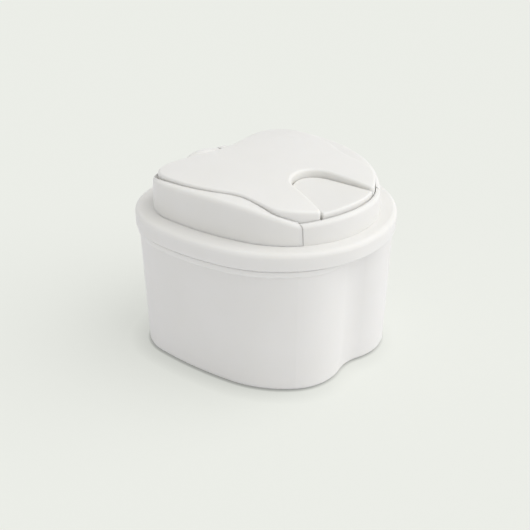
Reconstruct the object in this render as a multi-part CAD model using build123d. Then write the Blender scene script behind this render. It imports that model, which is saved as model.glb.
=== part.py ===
from build123d import *
import os
from collections import namedtuple
from math import cos, hypot, radians, sin, sqrt, tan

# Denture case: a drafted tub with a strainer basket, and a lift-off lid that carries a
# tooth-shaped flap, hinged at the back and held at the front by a push-button latch.
# Millimetres, +Z up, -Y to the front (button side), origin under the middle of the case.

# ---- Plan outlines: tangent arcs, symmetric about X = 0 ----
# half_width at Y = widest, front and back where the outline crosses X = 0.
# A notched outline turns in between two lobes at the front, down to notch.
Plan = namedtuple("Plan", "half_width front back widest front_radius corner_radius lobe_x lobe_radius notch",
                  defaults=(None, None, None))

TUB = Plan(41.4, -43.8, 43.2, 18.5, 38.4, 17.5, 12.0, 20.0, -37.3)
LID = Plan(45.0, -45.15, 45.15, 13.0, 42.5, 30.0)
TIER = Plan(37.6, -39.8, 36.6, 16.0, 33.8, 18.0)
RIM_INSET = 0.6
rim_notch = 1.0

# ---- Tub ----
tub_wall = 2.0
tub_floor = 2.6
tub_draft = 0.9
tub_edge_round = 1.4
foot_width = 3.4
foot_height = 0.8
rim_bottom = 45.4
rim_height = 2.5
lip_height = 3.3
lip_wall = 1.1

# ---- Lid ----
seam_gap = 0.2
collar_height = 6.3
collar_wall = 1.5
deck_thickness = 2.2
shoulder_round = 1.8
seal_thickness = 0.95
seal_overlap = 0.4

# ---- Raised tier: surround, front wall and crowned top ----
tier_wall = 2.0
tier_draft = 0.4
land_bottom = 62.8
land_thickness = 2.0
front_wall_top = 62.6
front_wall_thickness = 1.6
front_wall_round = 1.4
front_wall_half = 20.5
seam_width = 0.3
front_wall_crown = 190.0
surround_edge_round = 1.6
crown_side_drop = 1.0
crown_half = 45.0
# Side view of the crown over the flap: height of its top along Y
crown_line = [(-46, 61.3), (-38, 63.9), (-29, 66.2), (-18, 67.8), (-5, 68.9), (7, 69.2), (20, 68.8),
              (32, 67.5), (46, 65.0)]
# Side view of the surround's top
surround_line = [(-42, 56.6), (-33, 60.6), (-29, 62.7), (-24, 64.7), (-18, 66.2), (-9, 67.1), (4, 67.2),
                 (15, 66.7), (27, 65.2), (36, 62.8), (46, 59.4)]

# ---- Flap: a tooth outline with two cusps at the back and two roots at the front ----
tooth_half = [(0, 24.6), (10, 26.4), (20, 29.2), (26.5, 29.4), (31.8, 25.6), (33.8, 17.5), (33.2, 8.0),
              (30.2, -2.0), (27.0, -9.5), (26.2, -18.0), (25.4, -26.0), (24.2, -40.0)]
root_inset = 2.3
root_round = 6.5
root_tip_round = 1.2
root_tip_half = 16.0
root_corners_back = -22.0
arch_radius = 9.3
arch_centre = -21.0
arch_slope = 16.0
flap_wall = 1.8
flap_gap = 0.4
swing_clearance = 1.6
flap_bottom = 60.2
flap_edge_round = 0.9
liner_thickness = 1.6
liner_bottom = 62.4

# ---- Opening under the flap ----
opening_width = 54.0
opening_front = -6.2
opening_back = 20.2
opening_round = 12.0
chimney_wall = 1.7
chimney_top = 61.0

# ---- Hinge at the back ----
hinge_y = 37.4
hinge_z = 59.6
barrel_radius = 4.1
barrel_end_radius = 2.1
barrel_half = 9.0
lug_gap = 0.3
lug_width = 3.0
lug_radius = 2.8
barrel_clearance = 0.4
arm_half = 7.5
arm_top = 62.6
arm_bottom = 60.4
pin_radius = 1.0
pin_clearance = 0.05
spring_pocket_half = 4.0
spring_pocket_radius = 2.7

# ---- Release button and latch ----
pad_top = 64.4
pad_crown = 105.0
pad_tilt = 2.8
pad_thickness = 2.0
pad_gap = 0.4
pad_edge_round = 0.7
skirt_depth = 3.0
skirt_wall = 1.2
skirt_back = -18.2
button_travel = 1.6
leg_y = -24.0
leg_width = 4.0
leg_thickness = 1.4
barb = 0.7
slot_clearance = 0.3
slider_bottom = 56.6
slider_thickness = 1.8
slider_half = 5.0
slider_front = -27.0
nose_half = 3.6
nose_tip = -10.0
slider_slot_half = 2.6
slider_slot_front = -23.0
slider_slot_back = -15.8
wedge_clearance = 0.2
wedge_length = 5.0
catch_half = 5.5
catch_front = -11.3
catch_back = -9.9
catch_bottom = 55.6
catch_window_bottom = 57.0
catch_window_top = 59.4
rail_clearance = 0.25
rail_width = 1.5
stop_thickness = 1.2
latch_spring_radius = 1.3
button_spring_radius = 1.4
button_spring_x = 8.5
button_spring_y = -29.0
wire = 0.5

# ---- Latch cover under the deck, and screws ----
cover_half_x = 13.4
cover_half_y = 6.0
cover_depth = 4.6
cover_wall = 1.3
cover_ear_x = 17.2
ear_radius = 3.2
screw_radius = 0.9
head_radius = 1.9
head_height = 1.2
boss_radius = 2.3
cover_boss_height = 4.0
surround_boss_height = 5.0
surround_screws_at = [(29.9, -14.0), (33.6, 22.0)]

# ---- Strainer basket and its bail handle ----
basket_gap = 1.5
basket_wall = 1.4
basket_bottom = 4.2
basket_top = 44.0
basket_foot_radius = 2.5
slot_width = 2.8
wall_slot_bottom = 14.0
wall_slot_height = 18.0
handle_gap = 0.6
handle_thickness = 2.4
handle_height = 3.2
handle_y = -2.0
handle_z = 40.6
peg_radius = 1.5
peg_clearance = 0.06

# ---- Levels worked out from the sizes above ----
rim_top = rim_bottom + rim_height
lip_top = rim_top + lip_height
collar_bottom = rim_top + seam_gap
deck_top = collar_bottom + collar_height
deck_bottom = deck_top - deck_thickness
slider_top = slider_bottom + slider_thickness


def arc(centre, start, end):
    """The shorter arc about centre from start to end."""
    radius = hypot(start[0] - centre[0], start[1] - centre[1])
    dx = (start[0] + end[0]) / 2 - centre[0]
    dy = (start[1] + end[1]) / 2 - centre[1]
    reach = radius / hypot(dx, dy)
    return ThreePointArc(start, (centre[0] + dx * reach, centre[1] + dy * reach), end)


def beyond(centre_a, centre_b, radius):
    """The point at radius from centre_b, on the line from centre_a through it."""
    dx, dy = centre_b[0] - centre_a[0], centre_b[1] - centre_a[1]
    reach = radius / hypot(dx, dy)
    return (centre_b[0] + dx * reach, centre_b[1] + dy * reach)


def plan_face(plan, z=0.0, inset=0.0):
    """A plan outline as a face at height z, drawn in by inset all round."""
    width, front, back = plan.half_width - inset, plan.front + inset, plan.back - inset
    front_r, corner_r = plan.front_radius - inset, plan.corner_radius - inset
    front_c = (0, front + front_r)
    rise = plan.widest - front_c[1]
    side_r = (width ** 2 + rise ** 2 - front_r ** 2) / (2 * (width - front_r))
    side_c = (width - side_r, plan.widest)
    corner_c = (width - corner_r, plan.widest)
    depth = back - plan.widest
    back_r = ((width - corner_r) ** 2 + depth ** 2 - corner_r ** 2) / (2 * (depth - corner_r))
    back_c = (0, back - back_r)
    shoulder = beyond(side_c, front_c, front_r)
    haunch = beyond(back_c, corner_c, corner_r)
    widest = (width, plan.widest)
    right = [arc(side_c, shoulder, widest), arc(corner_c, widest, haunch)]
    middle = [ThreePointArc(haunch, (0, back), (-haunch[0], haunch[1]))]
    if plan.notch is None:
        middle.append(ThreePointArc((-shoulder[0], shoulder[1]), (0, front), shoulder))
    else:
        lobe_r, notch = plan.lobe_radius - inset, plan.notch + inset
        lobe_c = (plan.lobe_x, front_c[1] - sqrt((front_r - lobe_r) ** 2 - plan.lobe_x ** 2))
        drop = lobe_c[1] - notch
        notch_r = (plan.lobe_x ** 2 + drop ** 2 - lobe_r ** 2) / (2 * (lobe_r - drop))
        lobe_start = beyond(front_c, lobe_c, lobe_r)
        lobe_end = beyond((0, notch - notch_r), lobe_c, -lobe_r)
        right += [arc(front_c, lobe_start, shoulder), arc(lobe_c, lobe_end, lobe_start)]
        middle.append(ThreePointArc((-lobe_end[0], lobe_end[1]), (0, notch), lobe_end))
    left = [edge.mirror(Plane.YZ) for edge in right]
    return Pos(0, 0, z) * make_face(Wire.combine(right + left + middle)[0].edges())


def slab(plan, bottom, top, inset=0.0):
    """A straight-sided solid of a plan outline."""
    return extrude(plan_face(plan, bottom, inset), top - bottom)


def drafted(plan, bottom, top, inset_bottom, inset_top):
    """A solid whose walls lean between two insets of one outline."""
    return loft([plan_face(plan, bottom, inset_bottom), plan_face(plan, top, inset_top)], ruled=True)


def block(x0, x1, y0, y1, z0, z1):
    """A box between two corners."""
    return Pos((x0 + x1) / 2, (y0 + y1) / 2, (z0 + z1) / 2) * Box(x1 - x0, y1 - y0, z1 - z0)


def both_sides(solid):
    """A solid and its mirror image in X."""
    return solid + mirror(solid, about=Plane.YZ)


def post(x, y, z0, z1, radius):
    """An upright cylinder between two heights."""
    return Pos(x, y, (z0 + z1) / 2) * Cylinder(radius, z1 - z0)


def bar_x(x0, x1, y, z, radius):
    """A cylinder along X."""
    return Pos((x0 + x1) / 2, y, z) * Rot(0, 90, 0) * Cylinder(radius, x1 - x0)


def edges_at(solid, z):
    """The edges that lie in the plane at height z."""
    return solid.edges().filter_by_position(Axis.Z, z - 0.01, z + 0.01)


def crown(lower=0.0):
    """The space under the crowned top, lowered by a distance."""
    def section(x, drop):
        points = [(y, z - lower - drop) for y, z in crown_line]
        top = Spline(points)
        base = Polyline(points[-1], (points[-1][0], deck_top - 20), (points[0][0], deck_top - 20), points[0])
        return Pos(x, 0, 0) * (Plane.YZ * make_face([top, *base.edges()]))
    drop = crown_side_drop * 2
    return loft([section(-crown_half, drop), section(0, 0), section(crown_half, drop)])


def vault(top, radius):
    """The space under a vault that runs along Y."""
    return Pos(0, 0, top - radius) * Rot(90, 0, 0) * Cylinder(radius, 200)


def tooth_side(grow):
    """Right side of the tooth outline from the back to the tip of its root, grown by a distance."""
    curve = Spline(tooth_half, tangents=[(1, 0), (-0.1, -1)])
    steps = 2 * len(tooth_half)
    points = []
    for i in range(steps + 1):
        along = curve % (i / steps)
        points.append(curve @ (i / steps) + Vector(-along.Y, along.X) * grow)
    return Spline(points, tangents=[(1, 0), (-0.1, -1)])


def tooth_face(grow=0.0):
    """Plan of the flap: a tooth outline, its roots parted by the arch, grown by a distance."""
    right = tooth_side(grow)
    left = right.mirror(Plane.YZ)
    tooth = make_face([right, left, Line(right @ 1, left @ 1)])
    face = (tooth & plan_face(TIER, 0, root_inset - grow)) - arch_face(grow)
    corners = face.vertices().filter_by_position(Axis.Y, TIER.front, root_corners_back)
    face = fillet(corners.filter_by(lambda v: abs(v.X) > root_tip_half), root_round + grow)
    if root_tip_round + grow < 0.1:
        return face
    tips = face.vertices().filter_by(lambda v: abs(v.X) < root_tip_half and v.Y < root_corners_back)
    return fillet(tips, root_tip_round + grow)


def arch_face(inset=0.0):
    """Plan of the space between the roots: a round end that opens to the front."""
    radius = arch_radius - inset
    lean = radians(arch_slope)
    x0, y0 = radius * cos(lean), arch_centre + radius * sin(lean)
    reach = y0 - TIER.front
    x1 = x0 + reach * tan(lean)
    flare = make_face(Polyline((x0, y0), (x1, TIER.front), (-x1, TIER.front), (-x0, y0), close=True).edges())
    return flare + Pos(0, arch_centre) * Circle(radius)


def prism(face, bottom, top):
    """A flat face at Z = 0 carried up between two heights."""
    return extrude(Pos(0, 0, bottom) * face, top - bottom)


def opening_face(grow=0.0):
    """The rounded opening in the deck."""
    depth = opening_back - opening_front
    middle = (opening_back + opening_front) / 2
    return Pos(0, middle) * RectangleRounded(opening_width + 2 * grow, depth + 2 * grow, opening_round + grow)


def spring(radius, length, turns):
    """A coil spring that stands on Z = 0."""
    coil = Helix(pitch=(length - wire) / turns, height=length - wire, radius=radius)
    return Pos(0, 0, wire / 2) * sweep((Plane(origin=coil @ 0, z_dir=coil % 0)) * Circle(wire / 2), path=coil,
                                       is_frenet=True)


def screw(x, y, seat, shank_top):
    """A pan-head screw driven upwards, its head under the seat."""
    head = fillet(edges_at(post(x, y, seat - head_height, seat, head_radius), seat - head_height), 0.5)
    recess = Pos(x, y, seat - head_height) * (Box(2.2, 0.5, 1.2) + Box(0.5, 2.2, 1.2))
    return head + post(x, y, seat, shank_top, screw_radius) - recess


# ---- Tub ----
def make_tub():
    wall_lean = tub_draft / rim_bottom
    outside = drafted(TUB, 0, rim_bottom + 1, 0, -wall_lean * (rim_bottom + 1))
    outside = fillet(edges_at(outside, 0), tub_edge_round)
    rim_plan = LID._replace(lobe_x=TUB.lobe_x, lobe_radius=TUB.lobe_radius, notch=0)
    lobe_reach = LID.front + LID.front_radius - sqrt(
        (LID.front_radius - TUB.lobe_radius) ** 2 - TUB.lobe_x ** 2) - TUB.lobe_radius
    rim = slab(rim_plan._replace(notch=lobe_reach + rim_notch), rim_bottom, rim_top, RIM_INSET)
    rim = fillet(edges_at(rim, rim_bottom), 0.9)
    rim = fillet(edges_at(rim, rim_top), 0.4)
    inner_top = tub_wall - wall_lean * lip_top
    lip = slab(TUB, rim_top, lip_top, inner_top - lip_wall)
    cavity = drafted(TUB, tub_floor, lip_top, tub_wall, inner_top)
    cavity = fillet(edges_at(cavity, tub_floor), 3.0)
    under = slab(TUB, 0, foot_height, foot_width)
    return outside + rim + lip - cavity - under


# ---- Strainer basket ----
basket_lean = tub_draft / rim_bottom
basket_inset = tub_wall + basket_gap


def basket_face(z, inset=0.0):
    """Plan of the basket's outside at a height, drawn in by inset."""
    return plan_face(TUB, z, basket_inset + inset - basket_lean * z)


def make_basket():
    shell = loft([basket_face(basket_bottom), basket_face(basket_top)], ruled=True)
    shell = fillet(edges_at(shell, basket_bottom), 3.0)
    floor = basket_bottom + basket_wall
    hollow = loft([basket_face(floor, basket_wall), basket_face(basket_top, basket_wall)], ruled=True)
    shell = shell - hollow
    for x in (-22, -11, 0, 11, 22):
        floor_slot = SlotOverall(46 if abs(x) < 20 else 34, slot_width, rotation=90)
        shell -= Pos(x, 2, basket_bottom) * extrude(floor_slot, basket_wall + 1)
    bar = Rot(0, 90, 0) * extrude(SlotOverall(wall_slot_height, slot_width), 60, both=True)
    for angle in list(range(0, 90, 15)) + list(range(105, 180, 15)):
        shell -= Pos(0, 2, wall_slot_bottom + wall_slot_height / 2) * Rot(0, 0, angle) * bar
    for x, y in ((26, -18), (26, 22)):
        shell += both_sides(post(x, y, tub_floor, basket_bottom + 0.5, basket_foot_radius))
    peg_hole = bar_x(-60, 60, handle_y, handle_z, peg_radius + peg_clearance)
    return shell - peg_hole


def make_basket_handle():
    outer = basket_face(handle_z, basket_wall + handle_gap)
    inner = basket_face(handle_z, basket_wall + handle_gap + handle_thickness)
    band = extrude(outer - inner, handle_height / 2, both=True)
    band = band & block(-60, 60, handle_y, 60, 0, 60)
    ends = bar_x(-60, 60, handle_y, handle_z, handle_height / 2)
    ends = ends & extrude(outer - inner, handle_height, both=True)
    band = band + ends
    pegs = bar_x(-60, 60, handle_y, handle_z, peg_radius)
    pegs = pegs & (extrude(basket_face(handle_z, 0.1), 5, both=True) - extrude(inner, 5, both=True))
    return band + pegs


# ---- Lid ----
def make_lid_base():
    collar = slab(LID, collar_bottom, deck_top)
    collar = fillet(edges_at(collar, deck_top), shoulder_round)
    collar = fillet(edges_at(collar, collar_bottom), 0.7)
    body = collar - slab(LID, collar_bottom, deck_bottom, collar_wall)
    body += prism(opening_face(chimney_wall), deck_bottom, chimney_top)
    body += make_front_wall()
    body += make_latch_guide()
    body += both_sides(post(cover_ear_x, leg_y, deck_top - 1, deck_top + cover_boss_height, boss_radius))
    body -= prism(opening_face(), deck_bottom - 1, chimney_top + 1)
    leg = leg_x()
    slot = block(leg - slot_clearance, leg + leg_thickness + slot_clearance,
                 leg_y - leg_width / 2 - slot_clearance, leg_y + leg_width / 2 + slot_clearance,
                 deck_bottom - 1, deck_top + 1)
    body -= both_sides(slot)
    cover_hole = post(cover_ear_x, leg_y, deck_bottom - 1, deck_top + cover_boss_height - 1, screw_radius)
    body -= both_sides(cover_hole)
    for x, y in surround_screws_at:
        body -= both_sides(post(x, y, deck_bottom - 1, deck_top + 1, screw_radius + 0.1))
    return body


def make_front_wall():
    """The low wall in front of the roots and the button, flush with the surround."""
    wall = drafted(TIER, deck_top - 1, front_wall_top + 1, 0, tier_draft)
    wall = wall & vault(front_wall_top, front_wall_crown)
    wall = fillet(wall.edges().filter_by(lambda e: e.center().Z > deck_top), front_wall_round)
    wall -= slab(TIER, deck_top - 2, front_wall_top + 1, front_wall_thickness + tier_draft)
    return wall & block(-front_wall_half, front_wall_half, -60, 0, deck_top - 1, front_wall_top + 1)


def make_hinge_lugs():
    """Two lugs on the surround's back wall that hold the pin's ends."""
    x0 = barrel_half + lug_gap
    y1 = hinge_y + lug_radius
    lug = bar_x(x0, x0 + lug_width, hinge_y, hinge_z, lug_radius)
    lug += block(x0, x0 + lug_width, TIER.back - tier_wall, y1, deck_top, hinge_z)
    return both_sides(lug)


def hinge_barrel(grow=0.0):
    """The crowned barrel of the hinge, round in every section across the pin."""
    reach = barrel_half + (lug_gap if grow else 0)
    rim = Polyline((reach, barrel_end_radius + grow), (reach, 0), (-reach, 0),
                   (-reach, barrel_end_radius + grow))
    bulge = ThreePointArc((-reach, barrel_end_radius + grow), (0, barrel_radius + grow),
                          (reach, barrel_end_radius + grow))
    return Pos(0, hinge_y, hinge_z) * revolve(make_face([*rim.edges(), bulge]), Axis.X)


def make_latch_guide():
    """Rails and cheeks that the slider runs in, the spring's stop, and spigots for the button's springs."""
    rail = block(slider_half - 2.4, slider_half + rail_width + rail_clearance,
                 slider_front + 1, -13, deck_top - 1, slider_bottom)
    cheek = block(slider_half + rail_clearance, slider_half + rail_clearance + rail_width,
                  slider_front + 1, -13, deck_top - 1, slider_top)
    stop_y = slider_front - 5.4
    stop = block(-3, 3, stop_y - stop_thickness, stop_y, deck_top - 1, slider_top + 1)
    spigot = post(button_spring_x, button_spring_y, deck_top - 1, deck_top + 1.6,
                  button_spring_radius - wire / 2 - 0.1)
    return both_sides(rail + cheek + spigot) + stop


def make_lid_seal():
    wall_lean = tub_draft / rim_bottom
    inner = tub_wall - wall_lean * lip_top + seal_overlap
    outer = inner - seal_overlap - lip_wall
    ring = slab(TUB, deck_bottom - seal_thickness, deck_bottom, outer)
    return ring - slab(TUB, deck_bottom - seal_thickness, deck_bottom, inner)


def make_surround():
    """C-shaped wall and top land round the flap, open at the front wall and at the hinge."""
    height = crown_line[5][1] + 4
    top = Spline(surround_line)
    rest = Polyline(surround_line[-1], (surround_line[-1][0], deck_top - 5),
                    (surround_line[0][0], deck_top - 5), surround_line[0])
    under = extrude(Plane.YZ * make_face([top, *rest.edges()]), 60, both=True)
    mouth = front_wall_half + seam_width
    shell = drafted(TIER, deck_top, height, 0, tier_draft * 2) & under
    shell -= block(-mouth, mouth, -60, 0, deck_top, height)
    shell = fillet(shell.edges().filter_by(is_surround_brow), surround_edge_round)
    hollow = drafted(TIER, deck_top - 1, height, tier_wall, tier_wall + tier_draft * 2)
    shell -= hollow & Pos(0, 0, -land_thickness) * under & block(-60, 60, -60, 60, deck_top - 1, land_bottom)
    aperture = tooth_face(flap_gap)
    shell -= prism(aperture, deck_top, height)
    shell -= prism(Pos(0, swing_clearance) * aperture, deck_top, height)
    shell += make_hinge_lugs()
    slot = arm_half + lug_gap
    shell -= block(-slot, slot, 20, 60, hinge_z, height) + hinge_barrel(barrel_clearance)
    shell -= bar_x(-60, 60, hinge_y, hinge_z, pin_radius + pin_clearance)
    for x, y in surround_screws_at:
        pillar = post(x, y, deck_top, deck_top + surround_boss_height, boss_radius - 0.4)
        pillar -= post(x, y, deck_top, deck_top + surround_boss_height - 1, screw_radius)
        shell += both_sides(pillar)
        shell -= both_sides(post(x, y, deck_top, deck_top + surround_boss_height - 1, screw_radius))
    return shell


def is_surround_brow(edge):
    """Whether an edge borders the surround's top on its outer side."""
    middle = edge.center()
    return middle.Z > deck_top + 1 and not is_upright(edge) and hypot(middle.X, middle.Y) > 30


def make_surround_screws():
    group = [screw(side * x, y, deck_bottom, deck_top + surround_boss_height - 1.4)
             for x, y in surround_screws_at for side in (-1, 1)]
    return Compound(children=group)


def make_opening_seal():
    seat = chimney_top
    ring = prism(opening_face(chimney_wall), seat, liner_bottom - 0.05)
    return ring - prism(opening_face(0.2), seat, liner_bottom)


def make_hinge_pin():
    reach = barrel_half + lug_gap + lug_width
    pin = bar_x(-reach, reach, hinge_y, hinge_z, pin_radius)
    return chamfer(pin.edges().filter_by(GeomType.CIRCLE), 0.3)


def make_hinge_spring():
    """Torsion spring round the pin, in the barrel's pocket."""
    length = 2 * spring_pocket_half - 1.0
    coil = spring(pin_radius + 0.9, length, 6)
    return Pos(-length / 2, hinge_y, hinge_z) * Rot(0, 90, 0) * coil


# ---- Flap ----
def make_flap_shell():
    skin = prism(tooth_face(), flap_bottom, crown_line[5][1] + 2) & crown()
    skin = fillet(skin.edges().filter_by(lambda e: e.center().Z > flap_bottom + 1 and not is_upright(e)),
                  flap_edge_round)
    arm = block(-arm_half, arm_half, tooth_half[0][1] - flap_wall, hinge_y, arm_bottom, arm_top)
    skin += arm + hinge_barrel()
    skin -= prism(tooth_face(-flap_wall), flap_bottom, crown_line[5][1]) & crown(flap_wall)
    skin -= bar_x(-60, 60, hinge_y, hinge_z, pin_radius + pin_clearance)
    pocket = bar_x(-spring_pocket_half, spring_pocket_half, hinge_y, hinge_z, spring_pocket_radius)
    pocket += block(-spring_pocket_half, spring_pocket_half, hinge_y - spring_pocket_radius,
                    hinge_y, hinge_z - barrel_radius - 1, hinge_z)
    skin -= pocket
    catch = block(-catch_half, catch_half, catch_front, catch_back, catch_bottom, flap_bottom + 1)
    catch -= block(-nose_half - 0.4, nose_half + 0.4, catch_front - 1, catch_back + 1, catch_window_bottom,
                   catch_window_top)
    return skin + catch


def is_upright(edge):
    """Whether an edge runs along Z."""
    box = edge.bounding_box()
    return box.size.Z > 1.5 and max(box.size.X, box.size.Y) < 0.8


def make_flap_liner():
    plate = prism(tooth_face(-flap_wall - 0.05), liner_bottom, liner_bottom + liner_thickness)
    return plate & crown(flap_wall + 0.05)


# ---- Release button and latch ----
def pad_half_at(y):
    """Half the pad's width at a Y on its sloping sides."""
    radius, lean = arch_radius - pad_gap, radians(arch_slope)
    return radius * cos(lean) + (arch_centre + radius * sin(lean) - y) * tan(lean)


def leg_x():
    """Inner side of the button's right leg."""
    return pad_half_at(leg_y + leg_width / 2) - leg_thickness - 0.2


def make_release_button():
    front = root_inset + 0.2
    plan = arch_face(pad_gap) & plan_face(TIER, 0, front)
    top = Pos(0, TIER.front, pad_top) * Rot(pad_tilt, 0, 0) * vault(0, pad_crown)
    pad = prism(plan, pad_top - pad_thickness, pad_top + 4) & top
    brow = pad.edges().filter_by(
        lambda e: e.center().Z > pad_top - pad_thickness + 0.1 and not is_upright(e))
    pad = fillet(brow, pad_edge_round)
    skirt = prism(plan, pad_top - pad_thickness - skirt_depth, pad_top - pad_thickness)
    inside = arch_face(pad_gap + skirt_wall) & plan_face(TIER, 0, front + skirt_wall)
    skirt -= prism(inside, pad_top - pad_thickness - skirt_depth - 1, pad_top)
    skirt -= block(-60, 60, skirt_back, 0, 0, pad_top - pad_thickness)
    leg = leg_x()
    leg_bottom = deck_bottom - 1.4
    legs = block(leg, leg + leg_thickness, leg_y - leg_width / 2, leg_y + leg_width / 2,
                 leg_bottom, pad_top - 1)
    legs += block(leg + leg_thickness, leg + leg_thickness + barb + slot_clearance,
                  leg_y - leg_width / 2, leg_y + leg_width / 2, leg_bottom, deck_bottom - 0.05)
    return pad + skirt + both_sides(legs) + make_wedge()


def make_wedge():
    """The ramp under the pad that draws the slider back as the pad goes down."""
    front = slider_slot_front + wedge_clearance
    tip_z = slider_bottom - wedge_clearance
    back = front + wedge_length
    under = pad_top - pad_thickness
    side = Polyline((front - button_travel, under), (front - button_travel, slider_top + button_travel),
                    (front + slider_top - tip_z, tip_z), (back, tip_z), (back, under), close=True)
    return extrude(Plane.YZ * make_face(side.edges()), slider_slot_half - slot_clearance, both=True)


def make_latch_slider():
    plate = block(-slider_half, slider_half, slider_front, -14, slider_bottom, slider_top)
    plate += block(-nose_half, nose_half, -14.5, nose_tip, slider_bottom + 0.6, slider_top)
    plate -= block(-slider_slot_half, slider_slot_half, slider_slot_front, slider_slot_back,
                   slider_bottom - 1, slider_top + 1)
    nose = plate.edges().filter_by(Axis.X).sort_by(Axis.Y)[-2:].sort_by(Axis.Z)[-1]
    return chamfer(nose, 0.7)


def make_latch_spring():
    length = 5.3
    coil = spring(latch_spring_radius, length, 5)
    return Pos(0, slider_front - 0.05, (slider_top + slider_bottom) / 2) * Rot(90, 0, 0) * coil


def make_button_springs():
    length = pad_top - pad_thickness - deck_top - 0.1
    coils = [Pos(side * button_spring_x, button_spring_y, deck_top + 0.05)
             * spring(button_spring_radius, length, 6) for side in (-1, 1)]
    return Compound(children=coils)


def make_latch_cover():
    """Tray under the deck that closes the slots of the button's legs."""
    tray = Pos(0, leg_y) * RectangleRounded(2 * cover_half_x, 2 * cover_half_y, 3)
    inner_x, inner_y = cover_half_x - cover_wall, cover_half_y - cover_wall
    inner = Pos(0, leg_y) * RectangleRounded(2 * inner_x, 2 * inner_y, 1.7)
    ear = Pos(cover_ear_x, leg_y) * Circle(ear_radius)
    ear += Pos(cover_ear_x - 3, leg_y) * Rectangle(6, 2 * ear_radius)
    body = prism(tray, deck_bottom - cover_depth, deck_bottom)
    body += both_sides(prism(ear, deck_bottom - cover_wall, deck_bottom))
    body -= prism(inner, deck_bottom - cover_depth + cover_wall, deck_bottom)
    return body - both_sides(post(cover_ear_x, leg_y, deck_bottom - 5, deck_bottom + 1, screw_radius + 0.1))


def make_cover_screws():
    return Compound(children=[screw(side * cover_ear_x, leg_y, deck_bottom - cover_wall, deck_top + 2.6)
                              for side in (-1, 1)])


nodes = {
    "tub": make_tub,
    "strainer_basket": make_basket,
    "basket_handle": make_basket_handle,
    "lid_base": make_lid_base,
    "lid_seal": make_lid_seal,
    "surround": make_surround,
    "surround_screws": make_surround_screws,
    "opening_seal": make_opening_seal,
    "hinge_pin": make_hinge_pin,
    "hinge_spring": make_hinge_spring,
    "flap_shell": make_flap_shell,
    "flap_liner": make_flap_liner,
    "release_button": make_release_button,
    "button_springs": make_button_springs,
    "latch_slider": make_latch_slider,
    "latch_spring": make_latch_spring,
    "latch_cover": make_latch_cover,
    "cover_screws": make_cover_screws,
}

os.makedirs("parts", exist_ok=True)
for name, make in nodes.items():
    export_step(make(), os.path.join("parts", name + ".step"))
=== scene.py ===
from math import radians

import bpy
from mathutils import Matrix, Vector

# Denture case, in metres: CAD bodies dressed in satin white plastic, silicone and steel,
# on a plain pale floor under one broad soft light and an even sky.

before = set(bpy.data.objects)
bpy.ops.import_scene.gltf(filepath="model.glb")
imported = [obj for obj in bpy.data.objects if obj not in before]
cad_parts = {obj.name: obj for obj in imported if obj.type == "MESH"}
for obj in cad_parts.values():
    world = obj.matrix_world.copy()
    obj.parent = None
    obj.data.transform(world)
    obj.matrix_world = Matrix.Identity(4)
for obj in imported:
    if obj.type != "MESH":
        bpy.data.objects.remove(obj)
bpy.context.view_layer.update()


def srgb(red, green, blue):
    """A colour given as it looks on screen, 0 to 255, as linear RGBA."""
    def linear(value):
        value /= 255
        return value / 12.92 if value <= 0.04045 else ((value + 0.055) / 1.055) ** 2.4
    return (linear(red), linear(green), linear(blue), 1.0)


# ---- Node helpers ----
NOISE_LOW, NOISE_HIGH = 0.3, 0.7


class Shader:
    """A material under construction: adds nodes and links them."""

    def __init__(self, name):
        self.material = bpy.data.materials.new(name)
        self.material.use_nodes = True
        self.tree = self.material.node_tree
        self.principled = self.tree.nodes["Principled BSDF"]
        self.coords = self.add("ShaderNodeTexCoord").outputs["Object"]

    def add(self, kind, **values):
        node = self.tree.nodes.new(kind)
        for key, value in values.items():
            if key in node.inputs:
                node.inputs[key].default_value = value
            else:
                setattr(node, key, value)
        return node

    def link(self, out, to):
        self.tree.links.new(out, to)

    def set(self, socket, value):
        """Sets a constant on the shader's own socket."""
        self.principled.inputs[socket].default_value = value

    def ramp(self, value, from_min, from_max, to_min, to_max):
        """Maps a value from one range onto another."""
        node = self.add("ShaderNodeMapRange")
        limits = {"From Min": from_min, "From Max": from_max, "To Min": to_min, "To Max": to_max}
        for socket, limit in limits.items():
            node.inputs[socket].default_value = limit
        self.link(value, node.inputs["Value"])
        return node.outputs["Result"]

    def mix_colours(self, first, second, factor):
        """Mixes two colours by a factor's output."""
        mix = self.add("ShaderNodeMix", data_type="RGBA")
        mix.inputs["A"].default_value = first
        mix.inputs["B"].default_value = second
        self.link(factor, mix.inputs["Factor"])
        return mix.outputs["Result"]

    def noise(self, scale, detail=2.0, rough=0.5, stretch=None):
        """Noise in object space; scale is in features per metre."""
        node = self.add("ShaderNodeTexNoise", Scale=scale, Detail=detail, Roughness=rough)
        source = self.coords
        if stretch:
            mapping = self.add("ShaderNodeMapping", Scale=stretch)
            self.link(source, mapping.inputs["Vector"])
            source = mapping.outputs["Vector"]
        self.link(source, node.inputs["Vector"])
        return node.outputs["Fac"]

    def spread(self, value, low, high):
        """Maps the middle of a noise value's range onto another range."""
        return self.ramp(value, NOISE_LOW, NOISE_HIGH, low, high)

    def mottle(self, value, first, second):
        """Base colour that wanders between two colours with a noise value."""
        colour = self.mix_colours(first, second, self.spread(value, 0, 1))
        self.link(colour, self.principled.inputs["Base Color"])

    def gloss(self, value, low, high):
        """Roughness that wanders between two values with a noise value."""
        self.link(self.spread(value, low, high), self.principled.inputs["Roughness"])

    def bump(self, *layers):
        """Stacks bumps, each a height value and its depth in metres."""
        normal = None
        for value, depth in layers:
            node = self.add("ShaderNodeBump", Strength=1.0, Distance=depth)
            self.link(value, node.inputs["Height"])
            if normal:
                self.link(normal, node.inputs["Normal"])
            normal = node.outputs["Normal"]
        self.link(normal, self.principled.inputs["Normal"])


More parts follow.
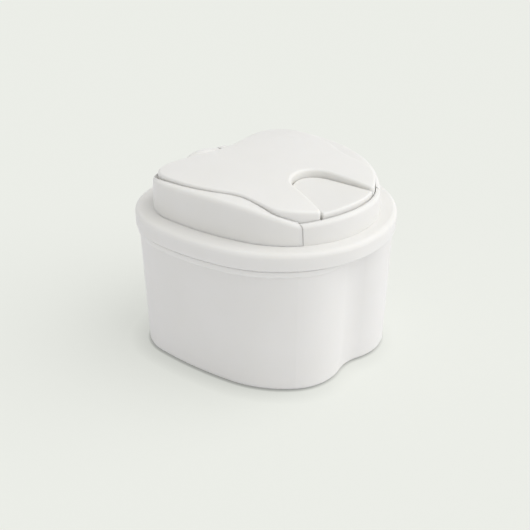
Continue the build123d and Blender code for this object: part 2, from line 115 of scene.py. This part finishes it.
PLASTIC_IOR, SILICONE_IOR = 1.47, 1.41
SCATTER_WEIGHT = 0.7
SCATTER_DEPTH = 0.0013
SCATTER_TINT = (1.0, 0.98, 0.94)


def plastic(name, light, dark, roughness, grain=2600.0, depth=0.000006):
    """Satin moulded plastic: fine spark-eroded grain, faint flow mottling and uneven gloss."""
    shader = Shader(name)
    shader.mottle(shader.noise(38, 3), dark, light)
    shader.gloss(shader.noise(160, 3), roughness - 0.05, roughness + 0.05)
    shader.bump((shader.noise(grain, 2), depth), (shader.noise(90, 1), depth * 3))
    shader.set("IOR", PLASTIC_IOR)
    shader.set("Subsurface Weight", SCATTER_WEIGHT)
    shader.set("Subsurface Radius", SCATTER_TINT)
    shader.set("Subsurface Scale", SCATTER_DEPTH)
    return shader.material


def silicone(name, light, dark):
    """Translucent-looking soft silicone with a dusty matte skin."""
    shader = Shader(name)
    shader.mottle(shader.noise(220, 4), dark, light)
    shader.gloss(shader.noise(700, 2), 0.55, 0.75)
    shader.bump((shader.noise(1500, 2), 0.00001))
    shader.set("IOR", SILICONE_IOR)
    return shader.material


def steel(name, light, dark):
    """Bright stainless steel with drawn streaks along X and faint dulling."""
    shader = Shader(name)
    shader.mottle(shader.noise(900, 3, stretch=(0.15, 1, 1)), dark, light)
    shader.gloss(shader.noise(2400, 2, stretch=(0.1, 1, 1)), 0.22, 0.42)
    shader.bump((shader.noise(5000, 1, stretch=(0.1, 1, 1)), 0.000002))
    shader.set("Metallic", 1.0)
    return shader.material


# ---- Materials of the CAD nodes ----
white_shell = plastic("white_shell", srgb(238, 237, 234), srgb(235, 234, 230), 0.46)
white_flap = plastic("white_flap", srgb(239, 238, 235), srgb(236, 235, 231), 0.42)
white_button = plastic("white_button", srgb(238, 237, 234), srgb(235, 234, 230), 0.44)
basket_white = plastic("basket_white", srgb(232, 233, 231), srgb(227, 228, 225), 0.38, grain=1800)
clear_silicone = silicone("silicone", srgb(216, 218, 216), srgb(205, 207, 204))
stainless = steel("stainless", srgb(205, 205, 207), srgb(178, 178, 181))

dress = {
    "tub": white_shell, "lid_base": white_shell, "surround": white_shell, "latch_cover": white_shell,
    "latch_slider": white_shell, "flap_shell": white_flap, "flap_liner": white_flap,
    "release_button": white_button, "strainer_basket": basket_white, "basket_handle": basket_white,
    "lid_seal": clear_silicone, "opening_seal": clear_silicone, "hinge_pin": stainless,
    "hinge_spring": stainless, "surround_screws": stainless, "cover_screws": stainless,
    "button_springs": stainless, "latch_spring": stainless,
}
for node, material in dress.items():
    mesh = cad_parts[node].data
    mesh.materials.clear()
    mesh.materials.append(material)

# ---- Floor: part self-lit, so that its shadows stay pale, with painted shade where something nearly touches it ----
BACKDROP = srgb(236, 238, 232)
FLOOR_BOUNCE = srgb(236, 236, 238)
FLOOR_SELF_LIT = 0.46
FLOOR_SIZE = 24.0
# Painted contact shade: the way the occlusion looks, and for each layer its reach in metres and its
# darkest painted shade
CONTACT_SIDE = (0.84, 0.06, 0.54)
PAINTED_SHADE_LAYERS = ((0.0013, 0.62), (0.008, 0.86))
CONTACT_DARKEST = 0.3
CONTACT_SAMPLES = 16


def painted_contact_shade(shader, colour):
    """Paints shade into a colour: darkens it, in each layer of reach and shade, near whatever stands
    on the surface.
    """
    side = shader.add("ShaderNodeCombineXYZ", X=CONTACT_SIDE[0], Y=CONTACT_SIDE[1], Z=CONTACT_SIDE[2])
    for reach, shade in PAINTED_SHADE_LAYERS:
        contact = shader.add("ShaderNodeAmbientOcclusion", Distance=reach)
        contact.samples = CONTACT_SAMPLES
        shader.link(side.outputs["Vector"], contact.inputs["Normal"])
        darkened = shader.add("ShaderNodeVectorMath", operation="SCALE")
        shader.link(colour, darkened.inputs["Vector"])
        # painted shade: how dark the colour gets as the occlusion closes in
        openness = shader.ramp(contact.outputs["AO"], CONTACT_DARKEST, 1, shade, 1)
        shader.link(openness, darkened.inputs["Scale"])
        colour = darkened.outputs["Vector"]
    return colour


def floor_paper():
    """Matte paper, part self-lit, that the camera sees in the backdrop's colour, with painted shade
    near whatever stands on it.
    """
    shader = Shader("floor")
    seen_by = shader.add("ShaderNodeLightPath")
    tint = shader.mix_colours(FLOOR_BOUNCE, BACKDROP, seen_by.outputs["Is Camera Ray"])
    # painted shade: the floor's colour darkened near the object, used for both the paper and its glow
    colour = painted_contact_shade(shader, tint)
    shader.set("Roughness", 1.0)
    shader.set("Specular IOR Level", 0.0)
    shader.link(colour, shader.principled.inputs["Base Color"])
    glow = shader.add("ShaderNodeEmission")
    shader.link(colour, glow.inputs["Color"])
    surface = shader.add("ShaderNodeMixShader", Fac=FLOOR_SELF_LIT)
    shader.link(shader.principled.outputs["BSDF"], surface.inputs[1])
    shader.link(glow.outputs["Emission"], surface.inputs[2])
    output = shader.tree.nodes["Material Output"]
    shader.link(surface.outputs["Shader"], output.inputs["Surface"])
    return shader.material


bpy.ops.mesh.primitive_plane_add(size=FLOOR_SIZE, location=(0, 0, 0))
floor = bpy.context.object
floor.name = "floor"
floor.data.materials.append(floor_paper())

# ---- Light: an even sky and one broad soft sun from the right ----
SKY_LEVEL = 0.66
SUN_LEVEL = 1.43
SUN_SPREAD = 70.0
TO_LIGHT = Vector((0.42, -0.54, 0.73)).normalized()

world = bpy.data.worlds.new("sky")
bpy.context.scene.world = world
world.use_nodes = True
nodes, links = world.node_tree.nodes, world.node_tree.links
sky = nodes["Background"]
sky.inputs["Color"].default_value = (1.0, 1.0, 1.0, 1.0)
sky.inputs["Strength"].default_value = SKY_LEVEL
backdrop = nodes.new("ShaderNodeBackground")
backdrop.inputs["Color"].default_value = BACKDROP
rays = nodes.new("ShaderNodeLightPath")
either = nodes.new("ShaderNodeMixShader")
links.new(rays.outputs["Is Camera Ray"], either.inputs["Fac"])
links.new(sky.outputs["Background"], either.inputs[1])
links.new(backdrop.outputs["Background"], either.inputs[2])
links.new(either.outputs["Shader"], nodes["World Output"].inputs["Surface"])

sun = bpy.data.lights.new("sun", "SUN")
sun.energy = SUN_LEVEL
sun.angle = radians(SUN_SPREAD)
lamp = bpy.data.objects.new("sun", sun)
lamp.rotation_euler = TO_LIGHT.to_track_quat("Z", "Y").to_euler()
bpy.context.scene.collection.objects.link(lamp)

# ---- Camera ----
IMAGE_PIXELS = 530
FOCAL_PIXELS = 850.0
CAMERA_AT = (-0.2071, -0.1938, 0.1790)
right = Vector((0.6910, -0.7229, 0.0)).normalized()
forward = Vector((0.6375, 0.6094, -0.4715)).normalized()
up = right.cross(forward).normalized()
lens = bpy.data.cameras.new("camera")
lens.sensor_width = 36.0
lens.lens = FOCAL_PIXELS / IMAGE_PIXELS * lens.sensor_width
lens.clip_start, lens.clip_end = 0.01, 60.0
camera = bpy.data.objects.new("camera", lens)
turn = Matrix((right, up, -forward)).transposed().to_4x4()
camera.matrix_world = Matrix.Translation(CAMERA_AT) @ turn
bpy.context.scene.collection.objects.link(camera)
bpy.context.scene.camera = camera
bpy.context.scene.view_settings.view_transform = "Standard"
